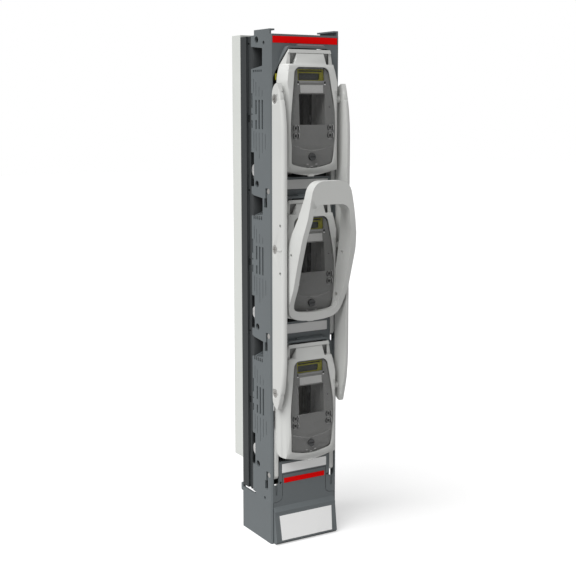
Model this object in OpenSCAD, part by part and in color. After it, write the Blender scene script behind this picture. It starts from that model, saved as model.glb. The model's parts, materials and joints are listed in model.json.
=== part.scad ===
// Three-pole strip fuse switch disconnector for upright 185 mm busbars.
// Millimetres. X right, Y into the device, Z up.
// The modules are drawn with Y = 0 on the moulded front face and Z = 0 on the
// bottom rim; in_frame() then moves them so that the origin is the centre of the
// middle busbar bolt hole, on the plane where the contact meets the busbar.
// What belongs to a pole is drawn at the heights of the lowest pole, and
// at_pole() lifts it to its own.

/* [Show] */
// node to draw, or all

/* [Body] */
// spacing of the three poles, one above the other
pole_pitch = 185; // [180:0.5:190]
// width over the side walls
body_width = 100; // [94:1:106]
// height of the housing above the lip of the top lid
head_height = 11.5; // [10:0.5:20]
// height of the two ears over the top edge
ear_height = 6.2; // [3:0.1:10]
// thickness of side walls and front wall
wall = 3; // [2:0.1:4]
// depth of the front housing, up to the dark rear base
housing_depth = 62; // [58:0.5:66]
// depth of the recess along the back edge of the side walls
shoulder_depth = 12.5; // [9:0.5:16]
// depth of the dark rear base
base_thick = 15.5; // [12:0.5:20]
// depth of the white rear frame, up to the busbars
frame_thick = 22.5; // [16:0.5:30]
// height of the cable compartment at the bottom
lower_box_height = 56; // [50:0.5:62]
// lower edge of the white rear frame
frame_low = 98; // [90:0.5:105]
// bars of the white rear frame between the poles
frame_bar = 4.4; // [3:0.1:8]

/* [Poles, heights in the lowest pole] */
// height of the lid hinge pins
hinge_z = 92.8; // [88:0.1:97]
// depth of the lid hinge pins behind the front face
hinge_y = 6.5; // [5:0.1:8]
// radius of a hinge pin
hinge_pin_r = 3.5; // [2.5:0.05:4.5]
// height of the screw on which a rail turns
pivot_z = 206.4; // [200:0.1:212]
// depth of the screw on which a rail turns
pivot_y = -9.5; // [-11:0.1:-8]
// centre height of the side disc screws
disc_z = 117.3; // [112:0.1:122]
// how far the side disc screws lie in front of the recess
disc_inset = 2.2; // [0:0.1:5]
// radius of a side disc screw's head
disc_r = 7.75; // [6:0.05:9]
// height of the busbar bolt hole
bus_hole_z = 194.5; // [185:0.1:202]
// centre height of the lower fuse jaw
lower_jaw_z = 130; // [127:0.5:133]
// distance between the two fuse jaws
jaw_distance = 113; // [110:0.5:116]

/* [Contacts] */
// thickness of the copper bars
bar_thick = 5; // [3:0.5:8]
// radius of the M12 busbar bolt hole
bus_hole_r = 6.5; // [5:0.25:8]
// radius of the M10 cable terminal hole
terminal_hole_r = 5.5; // [4:0.25:7]
// height of the cable terminal holes
terminal_z = 28; // [24:0.5:32]
// thickness of the fuse blade that the jaws take
blade_thick = 6; // [5:0.5:7]

/* [Lids] */
// gap between a lid and the rail beside it
lid_gap = 0.4; // [0.3:0.1:1]
// how far the lid rim reaches into the housing
lid_rim_y = 4; // [2:0.5:5]
// thickness of the lid's skin
lid_skin = 2.5; // [1.5:0.1:3]
// thickness of the smoked window
window_thick = 2; // [1:0.1:2.2]
// gap round the smoked window
window_gap = 0.2; // [0.1:0.05:0.5]
// height of the round lock in the window
lock_z = 135.7; // [133:0.1:138]
// radius of the round lock
lock_r = 4.6; // [4.2:0.1:5.5]

/* [Rails] */
// thickness of a rail, which stands flush with the side wall
rail_thick = 6; // [5:0.1:7]
// back face of a rail
rail_back = -3.4; // [-4:0.1:-1]
// front face of a rail
rail_front = -30; // [-34:0.5:-28]
// how far a rail reaches below its lowest screw
rail_under = 20.4; // [18:0.1:26]
// how far a rail reaches over its highest screw
rail_over = 19.6; // [18:0.1:26]

/* [Hidden] */

fit_gap = 0.05;
half = body_width / 2;
inner = half - wall;
pole_rise = [2 * pole_pitch, pole_pitch, 0];
// top of the moulded lip over a lid
lip_z = 274;
body_height = pole_rise[0] + lip_z + head_height;
side_depth = housing_depth - shoulder_depth;
base_depth = housing_depth + base_thick;
busbar_plane = base_depth + frame_thick;
bus_mid_z = bus_hole_z + pole_pitch;
// front face of the contact plates, which lie on the rear base
contact_y = housing_depth - bar_thick;
contact_half = 15;
shelf_z = bus_hole_z + 20;
upper_jaw_z = lower_jaw_z + jaw_distance;
contact_screw_heights = [lower_jaw_z - 13, upper_jaw_z - 7, upper_jaw_z + 13];
screw_hole_r = 2.5 + fit_gap;
// screws that tie the front housing to the rear base
tie_x = half - 10;
tie_z = 153;
tie_r = 2;
// the bars to the outer cable terminals run between the busbar shelves and the side walls
outer_bar = [contact_half + 7, inner - 9];
disc_y = side_depth - disc_inset;
rail_out = half;
rail_in = rail_out - rail_thick;
rail_low = pivot_z - rail_under;
rail_high = pivot_z + pole_rise[0] + rail_over;
lid_half = rail_in - lid_gap;
// the lid's outlines are drawn for this half width and spread with its edge
drawn_half = 43.6;
spread = lid_half / drawn_half;
$fn = 48;

shell_grey = [0.40, 0.43, 0.44];
base_grey = [0.22, 0.24, 0.25];
lid_grey = [0.80, 0.81, 0.80];
white = [0.88, 0.89, 0.87];
red = [0.78, 0.02, 0.02];
steel = [0.62, 0.62, 0.60];
copper = [0.80, 0.80, 0.78];

// front surface of a lid, depth against height, from bottom to top
lid_profile = [[-14.2, 111], [-15.8, 118], [-17.4, 127], [-19.2, 138], [-20.4, 150], [-21, 164],
    [-20.9, 178], [-20.4, 192], [-19.6, 205], [-18.6, 217], [-17.3, 230], [-16.1, 240],
    [-15.3, 246], [-13.6, 252], [-11.3, 261.5], [-10.6, 267]];
// back edge of a lid above its rim, depth against height
lid_back = [[-3.5, 222], [-1.4, 248.5], [-9, 266.4]];
// half outline of a lid, half width against height, from top to bottom
lid_outline = [[29.8, 267], [30.6, 265.6], [38.4, 249.6], [40.8, 243.5], [42.3, 238],
    [43.2, 232], [drawn_half, 225], [drawn_half, 129], [43.3, 125], [42.4, 121.8], [40.6, 119.9],
    [36, 118.8], [30, 117.4], [24, 116], [18, 114.7], [12, 113.5], [6, 112.5], [0, 112.1]];
// half outline of the smoked window
window_outline = [[18, 245.4], [20.6, 244.6], [23, 242.8], [25.1, 240], [26.3, 234], [28.6, 216.5],
    [30.6, 203], [32.2, 190], [32.6, 176], [32.5, 162], [31.7, 150], [31, 139], [30.2, 130],
    [29.4, 127.9], [27.4, 126.6], [20, 124.7], [12, 123], [6, 122.2], [0, 121.9]];
// half section of a lid's crown, half width against depth
lid_crown = [[0, -21], [29.5, -21], [32.5, -20.3], [35.2, -18.6], [37.6, -16], [39.7, -12.8],
    [41.6, -9], [42.9, -5.4], [drawn_half, -2], [drawn_half, lid_rim_y]];
// half outlines of the collar round the top of a lid, outside and inside
collar_outer = [[0, 271.4], [26.8, 271.4], [29.4, 270.4], [31, 268.4], [35.4, 259.9], [38.2, 253],
    [40, 248]];
collar_inner = [[0, 268.6], [26.4, 268.6], [28, 267.9], [29.4, 266.2], [33.7, 258.8], [36.5, 252],
    [38.2, 248]];
// half outlines of the pull ring, outside and inside, at the heights of its own lid
ring_outer = [[0, 293.3], [12, 293.3], [16, 292.8], [20, 291.3], [23.6, 288.6], [26.4, 285],
    [28.3, 280.4], [30, 273], [32.4, 260], [34.8, 246], [36.8, 236.5], [38.6, 228], [40, 217],
    [40.8, 205], [41, 190], [41, 155], [40.7, 140], [39.8, 132], [37.8, 125.8], [34.6, 121.2],
    [30, 117.9], [24, 115.9], [16, 114.5], [8, 113.8], [0, 113.5]];
ring_inner = [[0, 264.6], [13, 264.6], [17, 264], [20.4, 262.6], [23.2, 260.2], [25.4, 256.6],
    [26.6, 251.6], [28, 243], [31, 231], [32.8, 220], [33.8, 207], [34.2, 190], [34.4, 160],
    [34.2, 145], [33.6, 137], [32, 131.8], [29.4, 128.8], [25, 127.3], [18, 126.2], [9, 125.3],
    [0, 125]];

// helpers
module in_frame() {
    translate([0, -busbar_plane, -bus_mid_z]) children();
}
module at_pole(n) {
    translate([0, 0, pole_rise[n - 1]]) children();
}
module both_sides() {
    children();
    mirror([1, 0, 0]) children();
}
// 2D x, y become Y, Z; drawn from X = x0 to x1
module along_x(x0, x1) {
    translate([x0, 0, 0]) rotate([90, 0, 90]) linear_extrude(x1 - x0) children();
}
// 2D x, y become X, Z; drawn from Y = y0 to y1
module along_y(y0, y1) {
    translate([0, y1, 0]) rotate([90, 0, 0]) linear_extrude(y1 - y0) children();
}
module along_z(z0, z1) {
    translate([0, 0, z0]) linear_extrude(z1 - z0) children();
}
// box from two corners
module box(a, b) {
    translate(a) cube([b[0] - a[0], b[1] - a[1], b[2] - a[2]]);
}
module rod_x(x0, x1, y, z, r) {
    translate([x0, y, z]) rotate([0, 90, 0]) cylinder(r = r, h = x1 - x0);
}
module rod_y(y0, y1, x, z, r) {
    translate([x, y1, z]) rotate([90, 0, 0]) cylinder(r = r, h = y1 - y0);
}
function turned(p) = [for (i = [len(p) - 1:-1:0]) [-p[i][0], p[i][1]]];
function closed(p) = concat(p, turned(p));
function shifted(p, d) = [for (q = p) [q[0] + d, q[1]]];
function flipped(p) = [for (i = [len(p) - 1:-1:0]) p[i]];
function smaller(p, d) = [for (q = p) [max(q[0] - d, 0), q[1]]];
// an outline spread to the width of the lid
function widened(p) = [for (q = p) [q[0] * spread, q[1]]];
// a window outline made larger all round; its middle height tells top from bottom
function grown(p, d) = [for (q = p) [q[0] > 0 ? q[0] + d : 0, q[1] + (q[1] > 170 ? d : -d)]];
// layer that follows the lid's front surface, between two depths behind it
module lid_layer(d0, d1, width) {
    along_x(-width, width)
        polygon(concat(shifted(lid_profile, d0), flipped(shifted(lid_profile, d1))));
}

// places of the strip, the label plates and the terminal cover on the front
strip_low = body_height - 10.7;
strip_high = body_height - 2.6;
label_half = 34;
label_low = 95;
label_high = 107;
cover_half = min(33.4, inner - 10);
cover_top = 92.5;
strip_half = cover_half - 2.4;

// window for the disc screw, in the side wall and the recessed wall behind it
module disc_window() {
    box([-half - 1, disc_y - 4.3, disc_z - 20.5], [-inner + 3, disc_y + 8.3, disc_z + 23]);
}

// front housing
module side_windows(n) {
    // upper window in the side wall, with the row of vents under it
    top_f = n == 1 ? 269 : 268.4;
    top_r = n == 1 ? 272 : 273;
    along_x(-half - 1, -half + 14)
        polygon([[20.8, 247.6], [20.8, top_f], [side_depth - 6.1, n == 1 ? top_f + 2.2 : 270.6],
            [side_depth + 1, top_r], [side_depth + 1, 244.2]]);
    for (k = [0:4])
        box([-half - 1, 22.4 + 4.9 * k, 240.2], [-half + 1.4, 25.2 + 4.9 * k, 243]);
    // tall slots beside the fuse
    for (s = [[37, 188.2, 205.9], [37, 169.6, 180.8], [29, 169.7, 205.9], [21, 169.6, 205.8]])
        box([-half - 1, s[0] - 1.6, s[1]], [-inner + 1, s[0] + 1.6, s[2]]);
    for (s = [[196, 214.4], [171, 180.5]])
        box([-half - 1, side_depth - 3.1, s[0]], [-inner + 1, side_depth - 0.7, s[1]]);
    rod_x(-half - 1, -inner + 1, side_depth - 1.9, 188, 1.2);
    disc_window();
    // hole under the window
    rod_x(-half - 1, -inner + 1, 35.4, 100.4, 4.5);
}

module side_grooves() {
    // shallow lines moulded beside, above and below the slots
    for (g = [[side_depth - 6.5, 215, 232], [side_depth - 6.5, 146, 167], [37, 210, 228], [37, 142, 165],
            [29, 210, 222], [29, 133, 165], [21, 210, 218], [21, 140, 165], [13.4, 145, 164]])
        box([-half - 1, g[0] - 0.5, g[1]], [-half + 0.5, g[0] + 0.5, g[2]]);
}

module hinge_hook() {
    rod_x(-half - 1, -inner + 1, hinge_y, hinge_z, hinge_pin_r + fit_gap);
    box([-half - 1, hinge_y, hinge_z - hinge_pin_r - fit_gap],
        [-inner + 1, 13.7, hinge_z + hinge_pin_r + fit_gap]);
    box([-half - 1, 9.6, hinge_z - 10.8], [-inner + 1, 13.7, hinge_z]);
    box([-half - 1, 9.6, hinge_z - 20.8], [-inner + 1, 16.9, hinge_z - 9.3]);
}

module lid_aperture() {
    side = inner - 0.5;
    low = hinge_z - 10.8;
    polygon(closed(concat(widened(collar_inner), [[side - 3.5, 241], [side, 233], [side, low],
        [side - 2, low - 3.4], [side - 6, low - 3.4], [side - 8, low], [side - 8, 110], [0, 110]])));
}

// raised collar that stands just behind the back edge of the lid
module lid_collar() {
    intersection() {
        along_y(-12, wall) polygon(closed(concat(widened(collar_outer), [[0, 248]])));
        along_x(-half, half) polygon([[wall, 240], [-0.2, 240], [-0.2, 248.4], lid_back[2] + [1.3, 0],
            lid_back[2] + [1.3, 8], [wall, 280]]);
    }
    // lip along its top, with a sloping front
    along_x(-13, 25) polygon([[wall, lip_z - 3], [-6.4, lip_z - 3], [-6.4, lip_z - 2.2],
        [-0.4, lip_z], [wall, lip_z]]);
}

module front_housing() {
    ear_depth = side_depth - 8;
    hook_y = base_depth + 3;
    low = lower_box_height - 3;
    color(shell_grey) in_frame() difference() {
        union() {
            // side walls, front wall, top
            difference() {
                along_z(0, body_height)
                    polygon([[-half + 2, 0], [half - 2, 0], [half, 2], [half, side_depth],
                        [-half, side_depth], [-half, 2]]);
                box([-inner, wall, -1], [inner, side_depth + 1, body_height - wall]);
            }
            // cable compartment, as deep as the rear base
            difference() {
                box([-half, side_depth, 0], [half, base_depth + 0.5, lower_box_height]);
                box([-inner, side_depth - 1, -1], [inner, base_depth + 0.5 - wall, lower_box_height + 1]);
                box([-inner, base_depth - wall, lower_box_height - 12],
                    [inner, base_depth + 1, lower_box_height + 1]);
            }
            for (n = [1:3]) at_pole(n) lid_collar();
            // pads behind the label plates
            for (n = [1:3]) at_pole(n)
                box([-label_half - 2, 2, label_low - 2], [label_half + 2, 4.5, label_high + 2]);
            // ears on the top
            both_sides() {
                box([-half, 2.3, body_height - 4], [-half + 2.4, ear_depth, body_height + ear_height]);
                box([-half, 2.3, body_height + ear_height - 2],
                    [-half + 7, ear_depth, body_height + ear_height]);
            }
            // rounded hooks at the back of the cable compartment
            both_sides() {
                box([-half, base_depth - 1.5, low - 2.5], [-half + 4, hook_y, low + 2.5]);
                box([-half, base_depth + 0.2, low - 2.5], [-half + 4, hook_y, low + 8.5]);
                for (z = [low, low + 6]) rod_x(-half, -half + 4, hook_y, z, 2.5);
                box([-half, hook_y - 0.5, low], [-half + 4, hook_y + 2.5, low + 6]);
            }
        }
        // lid openings, hinge channels and side wall openings
        for (n = [1:3]) at_pole(n) {
            along_y(-12, wall + 0.5) lid_aperture();
            both_sides() {
                side_windows(n);
                side_grooves();
                hinge_hook();
                // tapered groove under the hinge channel
                along_y(-1, 1.4) translate([-inner, hinge_z])
                    polygon([[2.5, -13.8], [6.5, -13.8], [5.8, -26.8], [3.6, -26.8]]);
            }
        }
        both_sides() {
            // large and small hole at the top of the side wall
            rod_x(-half - 1, -inner + 1, 35.5, body_height - 5.9, 4.4);
            rod_x(-half - 1, -inner + 1, 17.4, body_height - 10.2, 2.4);
            // small hole and see-through slit over the cable compartment
            rod_x(-half - 1, -inner + 1, 17.6, lower_box_height + 2.5, 2.3);
            box([-half - 1, side_depth - 7.5, lower_box_height + 0.8],
                [-inner + 1, housing_depth + 2.4, lower_box_height + 3.6]);
        }
        // seat for the red strip
        box([-inner - 0.2, -1, strip_low - 0.2], [inner + 0.2, 0.6, strip_high + 0.2]);
        // seats for the label plates
        for (n = [1:3]) at_pole(n)
            box([-label_half - 0.3, -1, label_low - 0.3], [label_half + 0.3, 1, label_high + 0.2]);
        // opening behind the terminal cover
        along_y(-1, wall + 0.1)
            polygon(closed([[cover_half, cover_top + 0.5], [cover_half, 64], [cover_half + 1.6, 59],
                [cover_half + 6.6, 56.5], [inner + 0.1, 56.5], [inner + 0.1, -1], [0, -1]]));
        box([-cover_half, 1, 56], [cover_half, 5, cover_top + 0.5]);
        // small openings beside the lowest hinge channels
        both_sides() rod_y(-1, wall + 2, -inner + 10.8, hinge_z - 10.8, 1.5);
    }
}

// floor, guides and bosses moulded as one insert for each pole
module pole_insert(n) {
    floor_low = 106.4;
    floor_high = 109.2;
    wide = inner - 0.1;
    narrow = half - 5.8;
    wall_x = half - 18;
    back = contact_y - 0.4;
    color(base_grey) in_frame() at_pole(n) difference() {
        union() {
            box([-wide, wall + 1.6, floor_low], [wide, side_depth - 1.5, floor_high]);
            box([-narrow, side_depth - 2.5, floor_low], [narrow, back, floor_high]);
            both_sides() {
                // boss that takes the disc screw, on a post from the floor
                rod_x(-half + 7, -half + 14, disc_y, disc_z, 8.6);
                box([-half + 7.1, disc_y - 8.5, min(disc_z, floor_low + 0.6)],
                    [-half + 13.9, disc_y + 8.5, max(disc_z, floor_high - 0.6)]);
                // upright wall beside the fuse
                box([-wall_x - 2, back - 10.6, floor_low + 0.6], [-wall_x, back, 270]);
                // slanting guide seen through the upper window
                along_z(241, 270)
                    polygon([[-wide, 20], [-wide, 23], [-wall_x - 1, back - 4.6], [-wall_x - 1, back - 9.6]]);
                // bridges to the side walls, the lower one for the tie screw
                box([-narrow, back - 6.4, tie_z - 4], [-wall_x - 1, back - 4.2, tie_z + 17]);
                box([-narrow, back - 6.4, 222], [-wall_x - 1, back - 4.2, 240]);
            }
        }
        both_sides() {
            // way for the hinge arm
            box([-half + 2.5, 4, floor_low - 1], [-half + 12, 17, floor_high + 1]);
            rod_x(-half + 6, -half + 15, disc_y, disc_z, 3 + fit_gap);
            rod_y(back - 8, back + 1, -tie_x, tie_z, tie_r + fit_gap);
        }
    }
}
module pole_insert_1() { pole_insert(1); }
module pole_insert_2() { pole_insert(2); }
module pole_insert_3() { pole_insert(3); }

// rear base
module rear_base() {
    color(base_grey) in_frame() difference() {
        union() {
            box([-inner + 2.5, housing_depth, lower_box_height + 0.4],
                [inner - 2.5, housing_depth + 3, body_height - 0.5]);
            both_sides() {
                box([-half, housing_depth, lower_box_height + 4], [-inner, base_depth, body_height - 0.5]);
                // recessed walls that meet the side walls
                box([-half + 2.5, side_depth, lower_box_height + 4],
                    [-half + 5.5, housing_depth + 1, body_height - 0.5]);
                box([-inner - 0.5, housing_depth, lower_box_height + 4],
                    [-inner + 6, housing_depth + 3, body_height - 0.5]);
            }
            box([-inner, housing_depth, body_height - 3.5], [inner, base_depth, body_height - 0.5]);
            box([-half + 2.5, side_depth, body_height - 3.5],
                [half - 2.5, housing_depth + 1, body_height - 0.5]);
            box([-inner, housing_depth, lower_box_height + 4], [inner, base_depth, lower_box_height + 7]);
            // cross ribs between the poles
            for (n = [2:3]) at_pole(n)
                box([-inner, housing_depth, 284.7], [inner, base_depth, 287.7]);
            for (n = [1:3]) at_pole(n) both_sides() {
                box([-inner, housing_depth, 222], [-contact_half - 2, base_depth, 225]);
                rod_y(housing_depth, base_depth, -tie_x, tie_z, 4.5);
                box([-inner, housing_depth, tie_z - 1.5], [-tie_x, base_depth, tie_z + 1.5]);
                // ledge line along the edge towards the recess
                box([-half + 1.6, housing_depth - 1.4, 110], [-half + 2.4, housing_depth, 170]);
                box([-half + 1.6, housing_depth - 1.4, 190], [-half + 2.4, housing_depth, 270]);
            }
        }
        for (n = [1:3]) at_pole(n) {
            // passage for the contact that runs to the busbar
            box([-contact_half - 0.4, housing_depth - 1, shelf_z - 0.4],
                [contact_half + 0.4, base_depth + 1, shelf_z + bar_thick + 0.4]);
            // relief openings in the rear wall
            box([-12, housing_depth - 1, 160], [12, housing_depth + 4, 205]);
            both_sides() box([-27, housing_depth - 1, 165], [-17, housing_depth + 4, 205]);
            // pilot holes for the screws
            both_sides() rod_y(housing_depth - 1, base_depth + 1, -tie_x, tie_z, tie_r + fit_gap);
            for (z = contact_screw_heights)
                rod_y(housing_depth - 1, housing_depth + 4, 0, z, screw_hole_r);
            both_sides() {
                disc_window();
                // notches in the recessed walls
                for (z = [[178, 187], [275, 277]])
                    box([-half + 1, housing_depth - 4, z[0]], [-half + 6, housing_depth, z[1]]);
            }
            // slot for an auxiliary wire on the right-hand side
            box([inner - 1, base_depth - 9, 175], [half + 1, base_depth - 1.5, 181]);
        }
    }
}

// white frame behind the base
module rear_frame() {
    window_low = frame_low + 6.2;
    color(white) in_frame() difference() {
        box([-half, base_depth, frame_low],
            [half, busbar_plane, window_low + 3 * pole_pitch - frame_bar + 3]);
        for (n = [1:3]) at_pole(n)
            box([-inner + 0.5, base_depth - 1, window_low],
                [inner - 0.5, busbar_plane + 1, window_low + pole_pitch - frame_bar]);
    }
}

module top_strip() {
    color(red) in_frame() box([-inner, -0.2, strip_low], [inner, 0.6, strip_high]);
}

module label_plate(n) {
    color([0.72, 0.73, 0.72]) in_frame() at_pole(n)
        box([-label_half, -0.2, label_low], [label_half, 1, label_high]);
}
module label_plate_1() { label_plate(1); }
module label_plate_2() { label_plate(2); }
module label_plate_3() { label_plate(3); }

// current path
// two spring-loaded leaves that take a fuse blade, on the plate behind them
module jaw(z) {
    both_sides() {
        box([blade_thick / 2, 20, z - 15], [blade_thick / 2 + 3, contact_y, z + 15]);
        along_z(z - 15, z + 15)
            polygon([[blade_thick / 2, 20], [blade_thick / 2 + 3, 20], [blade_thick / 2 + 6.4, 14],
                [blade_thick / 2 + 4, 13.2]]);
    }
}

module line_contact(n) {
    color(copper) in_frame() at_pole(n) difference() {
        union() {
            jaw(upper_jaw_z);
            box([-contact_half, contact_y, shelf_z], [contact_half, housing_depth, upper_jaw_z + 21]);
            box([-contact_half, contact_y, shelf_z], [contact_half, busbar_plane, shelf_z + bar_thick]);
            box([-contact_half, busbar_plane - bar_thick, bus_hole_z - 12.5],
                [contact_half, busbar_plane, shelf_z + bar_thick]);
            intersection() {
                rod_y(busbar_plane - bar_thick, busbar_plane, 0, bus_hole_z, 19.4);
                box([-contact_half, busbar_plane - bar_thick - 1, bus_hole_z - 24.5],
                    [contact_half, busbar_plane + 1, bus_hole_z + 5.5]);
            }
        }
        rod_y(busbar_plane - bar_thick - 3, busbar_plane + 1, 0, bus_hole_z, bus_hole_r);
        for (z = contact_screw_heights) rod_y(contact_y - 1, housing_depth + 1, 0, z, screw_hole_r);
    }
}
module line_contact_1() { line_contact(1); }
module line_contact_2() { line_contact(2); }
module line_contact_3() { line_contact(3); }

// bar: left and right edge of the bar that runs down to this pole's cable terminal
module load_contact(n, bar) {
    x = (bar[0] + bar[1]) / 2;
    low = lower_jaw_z - 20;
    color(copper) in_frame() difference() {
        union() {
            at_pole(n) {
                jaw(lower_jaw_z);
                box([-contact_half, contact_y, low], [contact_half, housing_depth, lower_jaw_z + 16]);
                if (x < 0) box([bar[0], contact_y, low], [0, housing_depth, low + 18]);
                if (x > 0) box([0, contact_y, low], [bar[1], housing_depth, low + 18]);
            }
            box([bar[0], contact_y, terminal_z - 14], [bar[1], housing_depth, low + 2 + pole_rise[n - 1]]);
            box([x - 12.5, contact_y, terminal_z - 14], [x + 12.5, housing_depth, terminal_z + 14]);
        }
        rod_y(contact_y - 1, housing_depth + 1, x, terminal_z, terminal_hole_r);
        at_pole(n) rod_y(contact_y - 1, housing_depth + 1, 0, contact_screw_heights[0], screw_hole_r);
    }
}
module load_contact_1() { load_contact(1, [-outer_bar[1], -outer_bar[0]]); }
module load_contact_2() { load_contact(2, outer_bar); }
module load_contact_3() { load_contact(3, [-8, 8]); }

// steel clips that press the leaves together
module jaw_spring(z) {
    both_sides() {
        box([6, 24, z - 5], [7.2, 38, z + 5]);
        along_z(z - 5, z + 5) polygon([[7.2, 30], [9.4, 31], [9.4, 38], [7.2, 38]]);
    }
    for (s = [-1, 1])
        box([-9.4, 34, z + s * 16.5 - 0.8], [9.4, 38, z + s * 16.5 + 0.8]);
    both_sides() for (s = [-1, 1])
        box([7.2, 34, s > 0 ? z + 5 : z - 17.3], [9.4, 38, s > 0 ? z + 17.3 : z - 5]);
}
module jaw_springs(n) {
    color(steel) in_frame() at_pole(n) {
        jaw_spring(upper_jaw_z);
        jaw_spring(lower_jaw_z);
    }
}
module jaw_springs_1() { jaw_springs(1); }
module jaw_springs_2() { jaw_springs(2); }
module jaw_springs_3() { jaw_springs(3); }

// stacks of splitter plates on both sides of the upper jaw
module arc_chamber(n) {
    back = contact_y - 7.5;
    out = min(30, half - 20);
    low = upper_jaw_z - 17;
    color(steel) in_frame() at_pole(n) both_sides() {
        for (k = [0:6]) box([12, 16, low + 2 + 5 * k], [out, back - 1.5, low + 3.2 + 5 * k]);
        box([out, 16, low], [out + 1.5, back, low + 35]);
        box([12, back - 1.5, low], [out, back, low + 35]);
    }
}
module arc_chamber_1() { arc_chamber(1); }
module arc_chamber_2() { arc_chamber(2); }
module arc_chamber_3() { arc_chamber(3); }

// countersunk screws, all the same, that hold the contacts on the base
module contact_screw(z) {
    rod_y(contact_y - 3, contact_y, 0, z, 2.9);
    rod_y(contact_y, housing_depth + 3, 0, z, 2.5);
}
module contact_screws() {
    color(steel) in_frame() for (n = [1:3]) at_pole(n)
        for (z = contact_screw_heights) contact_screw(z);
}

module side_disc_screws() {
    color([0.9, 0.9, 0.9]) in_frame() for (n = [1:3]) at_pole(n) both_sides() difference() {
        union() {
            rod_x(-half + 3.4, -half + 7, disc_y, disc_z, disc_r);
            rod_x(-half + 7, -half + 14, disc_y, disc_z, 3);
        }
        box([-half + 3, disc_y - 5, disc_z - 0.7], [-half + 4.2, disc_y + 5, disc_z + 0.7]);
    }
}

module housing_screws() {
    color(steel) in_frame() for (n = [1:3]) at_pole(n) both_sides() difference() {
        union() {
            rod_y(contact_y - 6.8, base_depth, -tie_x, tie_z, tie_r);
            rod_y(base_depth, base_depth + 2.4, -tie_x, tie_z, 3.6);
        }
        box([-tie_x - 3, base_depth + 1.4, tie_z - 0.5], [-tie_x + 3, base_depth + 3, tie_z + 0.5]);
    }
}

// lids
module lid_shape(inset) {
    rim = lid_rim_y + (inset > 0 ? 1 : 0);
    intersection() {
        along_x(-60, 60)
            polygon(concat(shifted(lid_profile, inset), [[rim, 267], [rim, 111]]));
        along_y(-40, 10) polygon(closed(smaller(widened(lid_outline), inset)));
        along_z(100, 280) polygon(closed([for (q = smaller(widened(lid_crown), inset))
            [q[0], q[1] < lid_rim_y ? q[1] + inset : lid_rim_y + 1]]));
    }
}

// hollows beside the middle of the grip, under its bar, with a slim arm at each side
module grip_pockets() {
    both_sides() {
        intersection() {
            along_y(-40, 0) polygon(widened([[19.6, 262.6], [60, 262.6], [60, 248.6], [31.9, 248.6],
                [31.9, 249.6], [21.8, 249.6]]));
            along_x(-60, 0) polygon([[-40, 262.6], [-10.4, 262.6], [-9, 252.8], [-13.4, 248.6],
                [-40, 248.6]]);
        }
        intersection() {
            along_y(-40, 0) polygon(widened([[19.6, 262.6], [27.9, 262.6], [31.9, 253], [31.9, 249.6],
                [21.8, 249.6]]));
            along_x(-60, 0) polygon([[-40, 262.6], [-9, 262.6], [-3.5, 249.6], [-40, 249.6]]);
        }
    }
    // groove under the bar
    along_x(-19.7 * spread, 19.7 * spread)
        polygon([[-20, 262.6], [-10.4, 262.6], [-10.6, 261.8], [-20, 261.8]]);
}

module lid_frame(n) {
    color(lid_grey) in_frame() at_pole(n) difference() {
        union() {
            difference() {
                lid_shape(0);
                // hollow back
                intersection() {
                    lid_shape(lid_skin);
                    box([-60, -40, 115.8], [60, 20, 247]);
                }
                // opening for the smoked window
                along_y(-40, 0) polygon(closed(grown(widened(window_outline), window_gap)));
                grip_pockets();
                // nothing reaches behind the back edge above the rim
                along_x(-60, 60) polygon(concat(lid_back, [[-9, 280], [20, 280], [20, 222]]));
            }
            both_sides() {
                // hinge arms, rounded round the pin
                along_x(-half + 4.6, -half + 10.6) polygon([[hinge_y - 6.2, hinge_z], [hinge_y - 6.2, 155],
                    [hinge_y - 2.7, 159], [hinge_y + 6.5, 150], [hinge_y + 6.5, hinge_z]]);
                rod_x(-half + 4.6, -half + 10.6, hinge_y + 0.15, hinge_z, 6.35);
                // bosses for the rail screws
                rod_x(-lid_half - 0.1, -half + 16, pivot_y, pivot_z, 4.4);
            }
            // small tab on the lower edge
            box([-4, -15.2, 111.2], [4, -12, 113.4]);
        }
        both_sides() {
            rod_x(-half + 3, -half + 12, hinge_y, hinge_z, hinge_pin_r + fit_gap);
            rod_x(-half + 5, -half + 17, pivot_y, pivot_z, 2.5 + fit_gap);
        }
    }
}
module lid_frame_1() { lid_frame(1); }
module lid_frame_2() { lid_frame(2); }
module lid_frame_3() { lid_frame(3); }

module window_cover(n) {
    color([0.24, 0.24, 0.24, 0.6]) in_frame() at_pole(n) difference() {
        intersection() {
            lid_layer(0.7, 0.7 + window_thick, 40);
            along_y(-40, 0) polygon(closed(widened(window_outline)));
        }
        // hole for the lock, test holes and the thin seam
        rod_y(-40, 0, 0, lock_z, lock_r + 0.15);
        rod_y(-40, 0, 24.3, 197.3, 1.5);
        both_sides() for (z = [171.4, 161.5]) difference() {
            rod_y(-40, 0, -25.4 * spread, z, 4.4);
            rod_y(-41, 1, -25.4 * spread, z, 3.1);
            box([-25.4 * spread - 5.6, -41, z - 0.8], [-25.4 * spread + 5.4, 1, z + 0.8]);
        }
    }
}
module window_cover_1() { window_cover(1); }
module window_cover_2() { window_cover(2); }
module window_cover_3() { window_cover(3); }

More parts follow.
